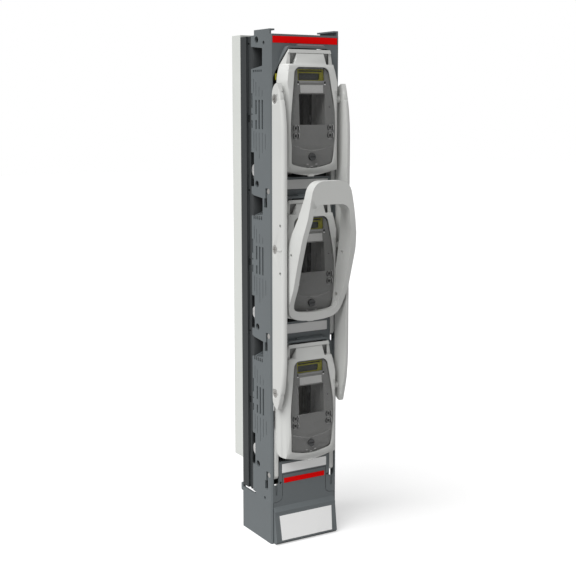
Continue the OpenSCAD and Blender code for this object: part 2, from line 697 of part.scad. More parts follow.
// plate behind the window with the cheeks that guide the fuse
module lid_liner(n) {
    color([0.62, 0.63, 0.62]) in_frame() at_pole(n) difference() {
        union() {
            difference() {
                intersection() {
                    lid_layer(3.0, 5.0, 50);
                    along_y(-40, 0) polygon(closed(grown(widened(window_outline), -0.3)));
                }
                box([-19.1, -40, 175.3], [19.1, 0, 212.8]);
                box([-19.6, -40, 225], [19.6, 0, 243.6]);
            }
            // raised light panel
            intersection() {
                lid_layer(2.75, 3.2, 50);
                along_y(-40, 0) polygon([[-16.7, 214.3], [-15.9, 224], [15.9, 224], [16.7, 214.3]]);
            }
            // cheeks
            both_sides() along_x(-22.6, -20.6)
                polygon([[-14, 224], [8, 224], [18, 216], [18, 152], [8, 144], [-14, 144]]);
            // ledges that hold the fuse's lugs
            for (z = [146, 220]) box([-22.6, -13.4, z], [22.6, -11.4 + 8, z + 2]);
        }
        rod_y(-40, 0, 0, lock_z, lock_r + 0.15);
    }
}
module lid_liner_1() { lid_liner(1); }
module lid_liner_2() { lid_liner(2); }
module lid_liner_3() { lid_liner(3); }

// yellow slide that lets the fuse go; its ends reach out of the lid's sides
module fuse_latch(n) {
    color([0.85, 0.78, 0.05]) in_frame() at_pole(n) difference() {
        union() {
            box([-19.2, -11.6, 227.4], [19.2, -9.6, 243.2]);
            // legs to the two ends, which lie just behind the lid's back edge
            both_sides() {
                box([-19.2, -10, 230], [-17.4, -0.3, 237.6]);
                box([-lid_half - 0.2, -1.9, 230], [-17.4, -0.3, 237.6]);
            }
        }
        // window and slit in the front plate
        box([-17, -12, 230], [11, -9, 238.4]);
        box([9, -12, 232], [13.6, -9, 236.4]);
        for (z = [232, 236.4]) rod_y(-12, -9, 11.6, z, 2);
        box([-17, -12, 240.1], [17, -9.2, 241.8]);
    }
}
module fuse_latch_1() { fuse_latch(1); }
module fuse_latch_2() { fuse_latch(2); }
module fuse_latch_3() { fuse_latch(3); }

module lid_lock(n) {
    color([0.2, 0.2, 0.2]) in_frame() at_pole(n) difference() {
        union() {
            rod_y(-18.4, -14.2, 0, lock_z, lock_r);
            rod_y(-14.2, -4, 0, lock_z, 3.9);
            box([-3, -10, lock_z - 9], [3, -7, lock_z + 2]);
        }
        box([-3.4, -19, lock_z - 0.7], [3.4, -17.2, lock_z + 0.7]);
    }
}
module lid_lock_1() { lid_lock(1); }
module lid_lock_2() { lid_lock(2); }
module lid_lock_3() { lid_lock(3); }

module hinge_pins(n) {
    color(steel) in_frame() at_pole(n) both_sides()
        rod_x(-half + 0.3, -half + 10.2, hinge_y, hinge_z, hinge_pin_r);
}
module hinge_pins_1() { hinge_pins(1); }
module hinge_pins_2() { hinge_pins(2); }
module hinge_pins_3() { hinge_pins(3); }

// rails
rail_mid = pivot_z + pole_pitch;
// small rib in front of the middle screw
module rail_rib() {
    box([-rail_out - 0.6, -26, rail_mid - 1], [-rail_out, -16.5, rail_mid + 1]);
}
module rail_shape() {
    difference() {
        intersection() {
            along_x(-rail_out, -rail_in) union() {
                polygon([[rail_back, rail_low + 16], [rail_back, rail_high - 16], [-15, rail_high - 8],
                    [rail_front, rail_high - 22], [rail_front, rail_low + 22], [-15, rail_low + 8]]);
                translate([rail_back - 13.3, rail_high - 13.3]) circle(r = 13.3);
                translate([rail_back - 13.3, rail_low + 13.3]) circle(r = 13.3);
            }
            along_z(rail_low - 1, rail_high + 1) union() {
                polygon([[-rail_in, rail_back], [-rail_out, rail_back], [-rail_out, rail_front + 4.6],
                    [-rail_out + 4.6, rail_front], [-rail_in, rail_front]]);
                translate([-rail_out + 4.6, rail_front + 4.6]) circle(r = 4.6);
            }
        }
        for (n = [1:3]) at_pole(n) {
            rod_x(-rail_out - 1, -rail_in + 1, pivot_y, pivot_z, 3 + fit_gap);
            rod_x(-rail_out - 1, -rail_out + 2.2, pivot_y, pivot_z, 5.6);
        }
        // seal holes
        for (z = [-29.4, 30.3]) rod_x(-rail_out - 1, -rail_in + 1, -22.7, rail_mid + z, 2.2);
        // hollow inner side
        box([-rail_in - 2.6, -27, rail_mid + 13.6], [-rail_in + 1, -18, rail_mid + 20.6]);
    }
}
module rail_left() {
    color(lid_grey) in_frame() union() {
        rail_shape();
        rail_rib();
    }
}
module rail_right() {
    color(lid_grey) in_frame() mirror([1, 0, 0]) union() {
        rail_shape();
        rail_rib();
    }
}

module pivot_screws(n) {
    color(steel) in_frame() at_pole(n) both_sides() difference() {
        union() {
            rod_x(-rail_out + 0.1, -rail_out + 2.1, pivot_y, pivot_z, 5.4);
            rod_x(-rail_out + 2.1, -rail_in + 0.2, pivot_y, pivot_z, 3);
            rod_x(-rail_in + 0.2, -half + 15, pivot_y, pivot_z, 2.5);
        }
        box([-rail_out, pivot_y - 3.4, pivot_z - 0.6], [-rail_out + 1.2, pivot_y + 3.4, pivot_z + 0.6]);
        box([-rail_out, pivot_y - 0.6, pivot_z - 3.4], [-rail_out + 1.2, pivot_y + 0.6, pivot_z + 3.4]);
    }
}
module pivot_screws_1() { pivot_screws(1); }
module pivot_screws_2() { pivot_screws(2); }
module pivot_screws_3() { pivot_screws(3); }

// pull ring on the middle lid
ring_front = [[-26, 111], [-30, 123], [-33.5, 134], [-39.8, 157], [-47.4, 183], [-55, 207],
    [-60, 229], [-63, 246], [-63.8, 260], [-64, 294]];
ring_back = [[-48.5, 294], [-47.6, 272], [-40, 246], [-32.5, 227], [-29, 217], [-24.5, 200],
    [-20, 181], [-14, 155], [-6, 135], [-3, 111]];
ring_screw_z = 145;
module pull_ring() {
    color(lid_grey) in_frame() at_pole(2) difference() {
        intersection() {
            along_x(-60, 60) polygon(concat(ring_front, ring_back));
            along_y(-80, 10) polygon(closed(widened(ring_outer)));
        }
        along_y(-80, 10) polygon(closed(widened(ring_inner)));
        // lies on the lid
        translate([0, -0.05, 0]) lid_shape(0);
        along_x(-60, 60)
            polygon(concat(shifted([for (q = lid_profile) if (q[1] > 116) q], 6), [[20, 267], [20, 118]]));
        box([-60, -0.3, 100], [60, 20, 270]);
        both_sides() {
            rod_x(-60, -20, -34, 200.8, 2);
            rod_x(-60, -20, -22, ring_screw_z, 2 + fit_gap);
        }
    }
}

module ring_screws() {
    side = 40.95 * spread;
    color(steel) in_frame() at_pole(2) both_sides() difference() {
        union() {
            rod_x(-side - 1.05, -side, -22, ring_screw_z, 3.4);
            rod_x(-side - 0.05, -side + 6.95, -22, ring_screw_z, 2);
        }
        box([-side - 1.25, -25, ring_screw_z - 0.5], [-side - 0.55, -19, ring_screw_z + 0.5]);
    }
}

// terminal cover
module cover_face() {
    polygon([[0, cover_top], [0, 50], [-3.6, 44], [-3.6, 40], [-8.6, 4], [-6, 1], [2.6, 1], [2.6, 3.6],
        [-4, 3.6], [-5.8, 5.6], [-1.1, 40], [-1.1, 43.4], [2.6, 49.4], [2.6, cover_top]]);
}
module terminal_cover() {
    side = inner - 0.3;
    top = cover_half - 0.4;
    color(shell_grey) in_frame() difference() {
        union() {
            intersection() {
                along_x(-side, side) cover_face();
                along_y(-20, 10)
                    polygon(closed([[top, cover_top], [top, 63.5], [top + 1.6, 58.6], [top + 6.6, 56.1],
                        [side, 56.1], [side, 5], [side - 2.7, 1], [0, 1]]));
            }
            // end walls of the wedge
            both_sides() along_x(-side, -side + 2)
                polygon([[2.6, 50], [0, 50], [-3.6, 44], [-3.6, 40], [-8.6, 4], [-6, 1], [2.6, 1]]);
            // catches that grip behind the front wall
            both_sides() box([-side + 0.5, 2.6, 12], [-side + 2, 14, 24]);
            // grips at the top
            both_sides() box([-top + 1, 2.6, cover_top - 8.5], [-top + 3, 9, cover_top - 0.5]);
        }
        // seat for the red strip
        box([-strip_half - 0.2, -1, cover_top - 11.7], [strip_half + 0.2, 0.4, cover_top - 4.8]);
    }
}
module rating_strip() {
    color(red) in_frame() box([-strip_half, -0.2, cover_top - 11.5], [strip_half, 0.4, cover_top - 5]);
}
module cover_label() {
    color(white) in_frame() intersection() {
        along_x(-60, 60) polygon([[-4.24, 38.6], [-3.84, 38.6], [-8.4, 5.8], [-8.8, 5.8]]);
        along_y(-20, 5) polygon(closed([[inner - 6.8, 38.4], [inner - 8.2, 6]]));
    }
}

front_housing();
pole_insert_1();
pole_insert_2();
pole_insert_3();
rear_base();
rear_frame();
top_strip();
label_plate_1();
label_plate_2();
label_plate_3();
line_contact_1();
line_contact_2();
line_contact_3();
load_contact_1();
load_contact_2();
load_contact_3();
jaw_springs_1();
jaw_springs_2();
jaw_springs_3();
arc_chamber_1();
arc_chamber_2();
arc_chamber_3();
contact_screws();
side_disc_screws();
housing_screws();
lid_frame_1();
lid_frame_2();
lid_frame_3();
window_cover_1();
window_cover_2();
window_cover_3();
lid_liner_1();
lid_liner_2();
lid_liner_3();
fuse_latch_1();
fuse_latch_2();
fuse_latch_3();
lid_lock_1();
lid_lock_2();
lid_lock_3();
hinge_pins_1();
hinge_pins_2();
hinge_pins_3();
pivot_screws_1();
pivot_screws_2();
pivot_screws_3();
rail_left();
rail_right();
pull_ring();
ring_screws();
terminal_cover();
rating_strip();
cover_label();
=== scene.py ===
# strip fuse switch disconnector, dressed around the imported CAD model
import json
import math

import bmesh
import bpy
from mathutils import Matrix, Vector

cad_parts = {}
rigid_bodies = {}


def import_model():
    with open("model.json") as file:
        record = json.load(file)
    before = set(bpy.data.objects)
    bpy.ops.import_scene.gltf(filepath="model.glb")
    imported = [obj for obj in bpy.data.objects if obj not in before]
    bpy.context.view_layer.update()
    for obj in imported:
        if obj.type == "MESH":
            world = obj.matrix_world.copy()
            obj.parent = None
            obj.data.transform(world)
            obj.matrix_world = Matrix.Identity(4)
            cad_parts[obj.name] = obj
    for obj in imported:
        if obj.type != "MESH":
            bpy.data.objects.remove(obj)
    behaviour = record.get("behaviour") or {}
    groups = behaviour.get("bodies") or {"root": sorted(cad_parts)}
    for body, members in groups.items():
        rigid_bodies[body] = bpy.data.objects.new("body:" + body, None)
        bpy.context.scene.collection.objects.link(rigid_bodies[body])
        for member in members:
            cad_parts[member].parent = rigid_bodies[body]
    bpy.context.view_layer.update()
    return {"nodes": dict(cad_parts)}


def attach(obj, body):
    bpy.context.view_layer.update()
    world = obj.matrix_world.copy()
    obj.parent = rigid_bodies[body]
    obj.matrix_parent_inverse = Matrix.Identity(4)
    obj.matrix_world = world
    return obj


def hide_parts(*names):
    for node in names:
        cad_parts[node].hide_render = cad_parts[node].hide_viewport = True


for old in list(bpy.data.objects):
    bpy.data.objects.remove(old, do_unlink=True)

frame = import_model()
nodes = frame["nodes"]
print("frame loaded:", len(nodes), "nodes")

backY = 0.100        # the origin lies this far behind the front face of the housing
midZ = 0.3795        # the origin's height over the bottom rim
polePitch = 0.185
poleBottom = 0.105   # lower end of the lowest pole, over the bottom rim
poles = (1, 2, 3)    # counted from the top
sides = (-1, 1)      # left and right


def place(x, y, z):
    # millimetres measured from the front face and the bottom rim, to metres in the frame
    return Vector((x / 1000, y / 1000 - backY, z / 1000 - midZ))


def measured(point):
    # the same millimetres, read back from a point in the frame
    return point.x * 1000, (point.y + backY) * 1000, (point.z + midZ) * 1000


def poleRise(n):
    # millimetres that a pole stands over the lowest one, where all poles' pieces are measured
    return 1000 * polePitch * (3 - n)


def newMaterial(name):
    mat = bpy.data.materials.new(name)
    mat.use_nodes = True
    tree = mat.node_tree
    return mat, tree, tree.nodes["Principled BSDF"]


def link(tree, a, b):
    tree.links.new(a, b)


def objectPlace(tree):
    return tree.nodes.new("ShaderNodeTexCoord").outputs["Object"]


def noise(tree, where, **values):
    tex = tree.nodes.new("ShaderNodeTexNoise")
    for name, value in values.items():
        tex.inputs[name].default_value = value
    link(tree, where, tex.inputs["Vector"])
    return tex.outputs["Fac"]


def spread(tree, source, low, high, span=(0, 1)):
    # stretches the part of a value that lies in the span to run from low to high
    node = tree.nodes.new("ShaderNodeMapRange")
    for name, value in zip(("From Min", "From Max", "To Min", "To Max"), (*span, low, high)):
        node.inputs[name].default_value = value
    link(tree, source, node.inputs["Value"])
    return node.outputs["Result"]


def toned(tree, shader, color, tone):
    # the colour, made lighter and darker by the tone
    tint = tree.nodes.new("ShaderNodeVectorMath")
    tint.operation = "SCALE"
    tint.inputs[0].default_value = color
    link(tree, tone, tint.inputs["Scale"])
    link(tree, tint.outputs["Vector"], shader.inputs["Base Color"])


def bumped(tree, shader, height, strength, depth, edge=None):
    bump = tree.nodes.new("ShaderNodeBump")
    bump.inputs["Strength"].default_value = strength
    bump.inputs["Distance"].default_value = depth
    link(tree, height, bump.inputs["Height"])
    if edge:
        link(tree, edge, bump.inputs["Normal"])
    link(tree, bump.outputs["Normal"], shader.inputs["Normal"])


plasticLook = {
    "grainScale": 2600,     # spark-eroded grain of the moulds
    "grainDepth": 0.000018,
    "grainStrength": 0.35,
    "cloudScale": 14,       # slow change of tone over a moulding
    "cloudAmount": 0.05,
    "cloudSpan": (0.3, 0.7),
    "glossSpan": (0.25, 0.75),
    "glossSpread": (-0.06, 0.08),
    "edgeRadius": 0.00045,
    "edgeSamples": 4,
    "ior": 1.5,
}


def moulded(name, color, rough, grain=1.0, clouds=1.0, specular=0.5):
    # satin moulded plastic: fine grain, slow clouds in tone, scuffed gloss, softened edges
    mat, tree, shader = newMaterial(name)
    where = objectPlace(tree)
    fine = noise(tree, where, Scale=plasticLook["grainScale"], Detail=3)
    slow = noise(tree, where, Scale=plasticLook["cloudScale"], Detail=5, Roughness=0.6)
    amount = plasticLook["cloudAmount"] * clouds
    toned(tree, shader, color, spread(tree, slow, 1 - amount, 1 + amount, plasticLook["cloudSpan"]))
    low, high = plasticLook["glossSpread"]
    gloss = spread(tree, slow, rough + low, rough + high, plasticLook["glossSpan"])
    link(tree, gloss, shader.inputs["Roughness"])
    soft = tree.nodes.new("ShaderNodeBevel")
    soft.samples = plasticLook["edgeSamples"]
    soft.inputs["Radius"].default_value = plasticLook["edgeRadius"]
    bumped(tree, shader, fine, plasticLook["grainStrength"] * grain, plasticLook["grainDepth"],
           soft.outputs["Normal"])
    shader.inputs["IOR"].default_value = plasticLook["ior"]
    shader.inputs["Specular IOR Level"].default_value = specular
    return mat


metalLook = {
    "along": 60,            # scale of the streaks along their axis and across it
    "across": 2400,
    "streakDepth": 0.00002,
    "streakStrength": 0.2,
    "stainScale": 90,
    "stainTone": (0.86, 1.1),
    "glossSpread": (-0.08, 0.12),
}


def metal(name, color, rough, streakAxis="Z", streak=1.0):
    # rolled or turned metal: fine streaks along one axis and faint stains
    mat, tree, shader = newMaterial(name)
    where = objectPlace(tree)
    turn = tree.nodes.new("ShaderNodeMapping")
    turn.inputs["Scale"].default_value = [metalLook["along" if a == streakAxis else "across"] for a in "XYZ"]
    link(tree, where, turn.inputs["Vector"])
    lines = noise(tree, turn.outputs["Vector"], Scale=1, Detail=4)
    stain = noise(tree, where, Scale=metalLook["stainScale"], Detail=5)
    toned(tree, shader, color, spread(tree, stain, *metalLook["stainTone"]))
    low, high = metalLook["glossSpread"]
    link(tree, spread(tree, lines, rough + low, rough + high), shader.inputs["Roughness"])
    bumped(tree, shader, lines, metalLook["streakStrength"] * streak, metalLook["streakDepth"])
    shader.inputs["Metallic"].default_value = 1.0
    return mat


def mathNode(tree, operation, *values):
    # one Math node; each value is a number or a socket
    node = tree.nodes.new("ShaderNodeMath")
    node.operation = operation
    for socket, value in zip(node.inputs, values):
        if isinstance(value, (int, float)):
            socket.default_value = value
        else:
            link(tree, value, socket)
    return node.outputs["Value"]


def poleAxes(tree):
    # X, and Z brought down to the lowest pole, so that one pattern serves all three
    parts = tree.nodes.new("ShaderNodeSeparateXYZ")
    link(tree, objectPlace(tree), parts.inputs["Vector"])
    low = poleBottom - midZ
    height = mathNode(tree, "WRAP", parts.outputs["Z"], low + polePitch, low)
    return parts.outputs["X"], height


def patchMask(tree, x, z, patch):
    # 1 inside a rectangle on the front
    across = mathNode(tree, "COMPARE", x, 0, patch["half"] / 1000)
    middle = (patch["low"] + patch["high"]) / 2000 - midZ
    up = mathNode(tree, "COMPARE", z, middle, (patch["high"] - patch["low"]) / 2000)
    return mathNode(tree, "MULTIPLY", across, up)


def mixedColor(tree, mask, color):
    # a Mix node that shows the colour where the mask is 1
    mix = tree.nodes.new("ShaderNodeMix")
    mix.data_type = "RGBA"
    mix.inputs["B"].default_value = (*color, 1)
    link(tree, mask, mix.inputs["Factor"])
    return mix


def recolor(tree, mask, color):
    # paints a colour where the mask is 1, before the slow clouds are applied
    tint = next(n for n in tree.nodes if n.bl_idname == "ShaderNodeVectorMath" and n.operation == "SCALE")
    mix = mixedColor(tree, mask, color)
    mix.inputs["A"].default_value = (*tint.inputs[0].default_value, 1)
    if tint.inputs[0].is_linked:
        link(tree, tint.inputs[0].links[0].from_socket, mix.inputs["A"])
    link(tree, mix.outputs["Result"], tint.inputs[0])


# the light panel behind each window and the strip over it, in millimetres at the lowest pole
windowPlate = {
    "panel": {"half": 16.6, "low": 214.3, "high": 223.9, "color": (0.66, 0.66, 0.65)},
    "strip": {"half": 19.0, "low": 224.3, "high": 228.2, "color": (0.27, 0.272, 0.265)},
}


def platePatches(mat):
    tree = mat.node_tree
    x, z = poleAxes(tree)
    for patch in windowPlate.values():
        recolor(tree, patchMask(tree, x, z, patch), patch["color"])
    return mat


smokedLook = {
    "wipes": {"Scale": 45, "Detail": 6, "Distortion": 1.4},
    "gloss": (0.1, 0.26),
    "ior": 1.45,
    # fine arc across the lower part of the window, a painted highlight: paler and less clear, as where a
    # raised seam catches the light
    "seamLow": 143.8,
    "seamBow": 8.0,
    "seamWidth": 0.22,
    "seamHighlightColor": (0.4, 0.4, 0.39),
    "seamHighlightAlpha": 0.35,
}


def smokedClear(name, color, alpha):
    # smoked polycarbonate: see-through, glossy, with faint wipe marks in the gloss
    mat, tree, shader = newMaterial(name)
    wipes = noise(tree, objectPlace(tree), **smokedLook["wipes"])
    link(tree, spread(tree, wipes, *smokedLook["gloss"]), shader.inputs["Roughness"])
    x, z = poleAxes(tree)
    bow = mathNode(tree, "MULTIPLY", mathNode(tree, "MULTIPLY", x, x), smokedLook["seamBow"])
    seam = mathNode(tree, "ADD", bow, smokedLook["seamLow"] / 1000 - midZ)
    mask = mathNode(tree, "COMPARE", z, seam, smokedLook["seamWidth"] / 1000)
    # painted highlight along the arc: a paler colour, and less see-through
    pale = mixedColor(tree, mask, smokedLook["seamHighlightColor"])
    pale.inputs["A"].default_value = (*color, 1)
    link(tree, pale.outputs["Result"], shader.inputs["Base Color"])
    link(tree, spread(tree, mask, alpha, smokedLook["seamHighlightAlpha"]), shader.inputs["Alpha"])
    shader.inputs["IOR"].default_value = smokedLook["ior"]
    return mat


mats = {
    "shell": moulded("shellGreyPlastic", (0.112, 0.126, 0.132), 0.5),
    "base": moulded("baseDarkPlastic", (0.024, 0.0275, 0.0290), 0.5),
    "insert": moulded("insertDarkPlastic", (0.066, 0.071, 0.073), 0.55),
    "lid": moulded("lidGreyPlastic", (0.535, 0.54, 0.525), 0.42, clouds=0.4),
    "whiteFrame": moulded("frameWhitePlastic", (0.575, 0.59, 0.565), 0.45, clouds=0.35),
    "liner": platePatches(moulded("linerPlastic", (0.25, 0.252, 0.247), 0.5)),
    "latch": moulded("latchYellowPlastic", (0.30, 0.285, 0.012), 0.42, clouds=0.6),
    "lock": moulded("lockBlackPlastic", (0.045, 0.047, 0.048), 0.4),
    "red": moulded("stripRedFilm", (0.74, 0.0, 0.0), 0.7, grain=0.4, clouds=0.4, specular=0.08),
    "label": moulded("labelGreyPlate", (0.62, 0.62, 0.615), 0.45, grain=0.5, clouds=0.4),
    # white for the lowest label plates and the lock marks, and painted highlight for the pale arcs and the
    # blocks under the pegs
    "whiteAndPaintedHighlight": moulded("whitePlateAndPaintedHighlight", (0.84, 0.84, 0.835), 0.45, grain=0.5, clouds=0.3),
    "contact": metal("silverPlatedCopper", (0.74, 0.72, 0.68), 0.3),
    "steel": metal("zincPlatedSteel", (0.58, 0.57, 0.55), 0.36),
    # black for small dark marks and the joints, and painted shade for the grille slits and the strokes on
    # the wall
    "mark": moulded("blackMarkAndPaintedShade", (0.012, 0.0125, 0.013), 0.5),
    "pale": moulded("markPalePlastic", (0.30, 0.30, 0.29), 0.45),
    # painted shade for the lids' pockets: the lid's plastic made darker where shade falls in them
    "paintedPocketShade": moulded("pocketPaintedShade", (0.20, 0.202, 0.197), 0.5),
    "disc": metal("brightZincDisc", (0.93, 0.93, 0.92), 0.3, "X", 0.5),
    "smoked": smokedClear("smokedWindow", (0.06, 0.06, 0.058), 0.14),
}

nodeLooks = {
    "front_housing": "shell", "rear_base": "base", "rear_frame": "whiteFrame", "top_strip": "red",
    "contact_screws": "steel", "side_disc_screws": "disc", "housing_screws": "steel",
    "rail_left": "lid", "rail_right": "lid", "pull_ring": "lid", "ring_screws": "steel",
    "terminal_cover": "shell", "rating_strip": "red", "cover_label": "whiteAndPaintedHighlight",
}
for n in poles:
    nodeLooks.update({
        f"pole_insert_{n}": "insert", f"label_plate_{n}": "label", f"line_contact_{n}": "contact",
        f"load_contact_{n}": "contact", f"jaw_springs_{n}": "steel", f"arc_chamber_{n}": "steel",
        f"lid_frame_{n}": "lid", f"window_cover_{n}": "smoked", f"lid_liner_{n}": "liner",
        f"fuse_latch_{n}": "latch", f"lid_lock_{n}": "lock", f"hinge_pins_{n}": "steel",
        f"pivot_screws_{n}": "steel",
    })
nodeLooks["label_plate_3"] = "whiteAndPaintedHighlight"     # the lowest plate is whiter than the others


def dress(obj, look):
    obj.data.materials.clear()
    obj.data.materials.append(mats[look])


for name, look in nodeLooks.items():
    dress(nodes[name], look)
print("materials:", len(mats))

meshing = {
    "weld": 0.000004,       # points nearer than this are one, in metres
    "onPlane": 0.0000001,   # points nearer to a cut than this lie on it
    "digits": 6,            # places after the point by which parts of a mesh are put in order
    "cutDigits": 7,         # places to which the ends of a cutter are rounded
    "flat": 0.6,            # faces that meet at less than this many degrees are one
    "edgeAngle": 40,        # edges sharper than this are rounded
    "shortest": 0.8,        # edges shorter than this share of the rounding stay sharp
}


def weld(bm):
    bmesh.ops.remove_doubles(bm, verts=bm.verts, dist=meshing["weld"])


def mergeFlat(bm):
    bmesh.ops.dissolve_limit(bm, angle_limit=math.radians(meshing["flat"]), use_dissolve_boundaries=False,
                             verts=bm.verts, edges=bm.edges, delimit=set())


def eased(bm, edges, width, segments):
    # rounds some edges
    bmesh.ops.bevel(bm, geom=edges, offset=width, offset_type="OFFSET", segments=segments,
                    profile=0.5, affect="EDGES", clamp_overlap=True, material=-1)


def sliced(bm, point, normal, dropOuter=False):
    # cuts the faces along a plane, and may take away what lies beyond it
    return bmesh.ops.bisect_plane(bm, geom=bm.verts[:] + bm.edges[:] + bm.faces[:],
                                  dist=meshing["onPlane"], plane_co=point, plane_no=normal,
                                  clear_outer=dropOuter)


def pulled(bm, face, vec):
    # draws a face out into a block
    made = bmesh.ops.extrude_face_region(bm, geom=[face])
    ends = [v for v in made["geom"] if isinstance(v, bmesh.types.BMVert)]
    bmesh.ops.translate(bm, vec=vec, verts=ends)


def inOrder(bm):
    # points, edges and faces sorted by place, because some operators' order changes from run to run
    kinds = (
        (bm.verts, lambda v: v.co),
        (bm.edges, lambda e: e.verts[0].co + e.verts[1].co),
        (bm.faces, lambda f: f.calc_center_median()),
    )
    for parts, spot in kinds:
        ranked = sorted(parts, key=lambda part: [round(c, meshing["digits"]) for c in spot(part)])
        for i, part in enumerate(ranked):
            part.index = i
        parts.sort()


def finishPiece(bm, name, body, look, smoothAngle=35):
    inOrder(bm)
    weld(bm)
    bmesh.ops.recalc_face_normals(bm, faces=bm.faces)
    mesh = bpy.data.meshes.new(name)
    bm.to_mesh(mesh)
    bm.free()
    obj = bpy.data.objects.new(name, mesh)
    bpy.context.scene.collection.objects.link(obj)
    mesh.shade_smooth()
    mesh.set_sharp_from_angle(angle=math.radians(smoothAngle))
    dress(obj, look)
    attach(obj, body)
    return obj


def along(table, value):
    # straight lines between the pairs of a table, level beyond its ends
    for (a, low), (b, high) in zip(table, table[1:]):
        if value <= b:
            return low + (high - low) * max(0, value - a) / (b - a)
    return table[-1][1]


def share(value, start, length):
    # how far a value has come along a stretch, 0 before it and 1 past it
    return min(1, max(0, (value - start) / length))


def mergedForm(node):
    # a copy of a CAD solid with its loose triangles merged into plain faces
    bm = bmesh.new()
    bm.from_mesh(nodes[node].data)
    weld(bm)
    mergeFlat(bm)
    return bm


def carved(bm, cutters):
    # takes the space of each cutter out of the form
    parts = []
    for shape in (bm, *cutters):
        mesh = bpy.data.meshes.new("carving")
        shape.to_mesh(mesh)
        shape.free()
        parts.append(bpy.data.objects.new("carving", mesh))
        bpy.context.scene.collection.objects.link(parts[-1])
    for tool in parts[1:]:
        cut = parts[0].modifiers.new("cut", "BOOLEAN")
        cut.operation = "DIFFERENCE"
        cut.solver = "EXACT"
        cut.object = tool
    done = parts[0].evaluated_get(bpy.context.evaluated_depsgraph_get())
    result = bmesh.new()
    result.from_mesh(done.data)
    for part in parts:
        bpy.data.objects.remove(part, do_unlink=True)
    inOrder(result)
    weld(result)
    mergeFlat(result)
    return result


def softened(bm, node, name, body, look, width, segments, smoothAngle=28):
    # rounds the moulded edges, keeps the large faces flat, and stands for the CAD solid
    sharpest = math.radians(meshing["edgeAngle"])
    edges = [e for e in bm.edges if e.is_manifold and e.calc_face_angle(0) > sharpest
             and e.calc_length() > width * meshing["shortest"]]
    eased(bm, edges, width, segments)
    bmesh.ops.triangulate(bm, faces=[f for f in bm.faces if len(f.verts) > 4])
    piece = finishPiece(bm, name, body, look, smoothAngle)
    flat = piece.modifiers.new("flatFaces", "WEIGHTED_NORMAL")
    flat.keep_sharp = True
    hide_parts(node)
    return piece


lid = {
    "edge": 0.0007,        # the form's shortest edges hold the rounding far below this
    # how far the hood's shoulders draw in at the front, by height in the pole
    "drawIn": [(227, 0), (236, 2.4), (243, 4.6), (249, 6.4), (258, 3.0), (266, 0)],
    "drawCuts": (222, 227, 231, 233.5, 236, 238.5, 241, 243, 245, 247),
    "drawDepth": 12,       # the full shift is reached this far in front of the housing
    "drawFrom": 26,        # nothing nearer to the middle moves, and all moves 8 mm further out
    "drawOver": 8,
    "pocketTop": 262.6,
    "pocketLow": 249.2,
    "panelTop": 19.6,      # half width of the hood's middle at its top
    "panelLow": 21.8,
    "armDepth": -9.6,      # front of the slim arms beside the pockets
    "floorTop": -9.0,      # the pockets' floors, deeper towards their lower ends
    "floorLow": -3.5,
    "armTop": 27.9,        # inner side of the arms
    "armLow": 31.6,
    "prismFront": -40,     # the cutters reach from here to the housing's front face
    "prismSide": 60,
    # faces in this part of the hood get painted shade, a darker tone that stands for the shade in the
    # pockets
    "darkFrom": 20.2,
    "darkTo": 31,
    "darkFront": -9.4,
    "darkBelowTop": 0.4,
}


def prism(points, height, side):
    # a few points in the plane of the front, from far in front of the lid to its back
    bm = bmesh.new()
    corners = [bm.verts.new(place(side * x, lid["prismFront"], z + height)) for x, z in points]
    pulled(bm, bm.faces.new(corners), (0, -lid["prismFront"] / 1000, 0))
    return bm


def trimmed(bm, point, normal):
    # cuts a prism off along a plane and closes the end
    cut = sliced(bm, point, normal, dropOuter=True)
    rim = [e for e in cut["geom_cut"] if isinstance(e, bmesh.types.BMEdge)]
    bmesh.ops.edgeloop_fill(bm, edges=rim)
    bmesh.ops.recalc_face_normals(bm, faces=bm.faces)
    for vert in bm.verts:
        vert.co = [round(c, meshing["cutDigits"]) for c in vert.co]
    inOrder(bm)
    return bm


def pocketCutters(height):
    top, low = lid["pocketTop"], lid["pocketLow"]
    middle = [(lid["panelTop"], top), (lid["panelLow"], low)]
    cutters = []
    for side in sides:
        # all that stands in front of the arm
        front = [middle[0], (lid["prismSide"], top), (lid["prismSide"], low), middle[1]]
        cutters.append(trimmed(prism(front, height, side), place(0, lid["armDepth"], top), (0, 1, 0)))
        # the deeper floor between the arm and the middle
        deep = [middle[0], (lid["armTop"], top), (lid["armLow"], low), middle[1]]
        lean = Vector((0, top - low, lid["floorLow"] - lid["floorTop"]))
        cutters.append(trimmed(prism(deep, height, side), place(0, lid["floorTop"], top + height), lean))
    return cutters


def drawnIn(bm, height):
    # the hood narrows towards its front
    for z in lid["drawCuts"]:
        sliced(bm, place(0, 0, z + height), (0, 0, 1))
    for vert in bm.verts:
        x, y, z = measured(vert.co)
        reach = share(-y, 0, lid["drawDepth"]) * share(abs(x), lid["drawFrom"], lid["drawOver"])
        vert.co.x -= math.copysign(along(lid["drawIn"], z - height) * reach, x) / 1000


# painted shade: the faces inside the pockets get a darker colour in place of the shade that falls there
def paintPocketShade(hood, height):
    hood.data.materials.append(mats["paintedPocketShade"])
    for face in hood.data.polygons:
        spot = (face.center - place(0, 0, height)) * 1000
        inPocket = lid["pocketLow"] < spot.z < lid["pocketTop"] - lid["darkBelowTop"]
        if inPocket and lid["darkFrom"] < abs(spot.x) < lid["darkTo"] and spot.y > lid["darkFront"]:
            face.material_index = 1


for n in poles:
    shell = carved(mergedForm(f"lid_frame_{n}"), pocketCutters(poleRise(n)))
    drawnIn(shell, poleRise(n))
    hood = softened(shell, f"lid_frame_{n}", f"lidShell{n}", f"lid_{n}", "lid", lid["edge"], 2)
    paintPocketShade(hood, poleRise(n))
print("lids done")

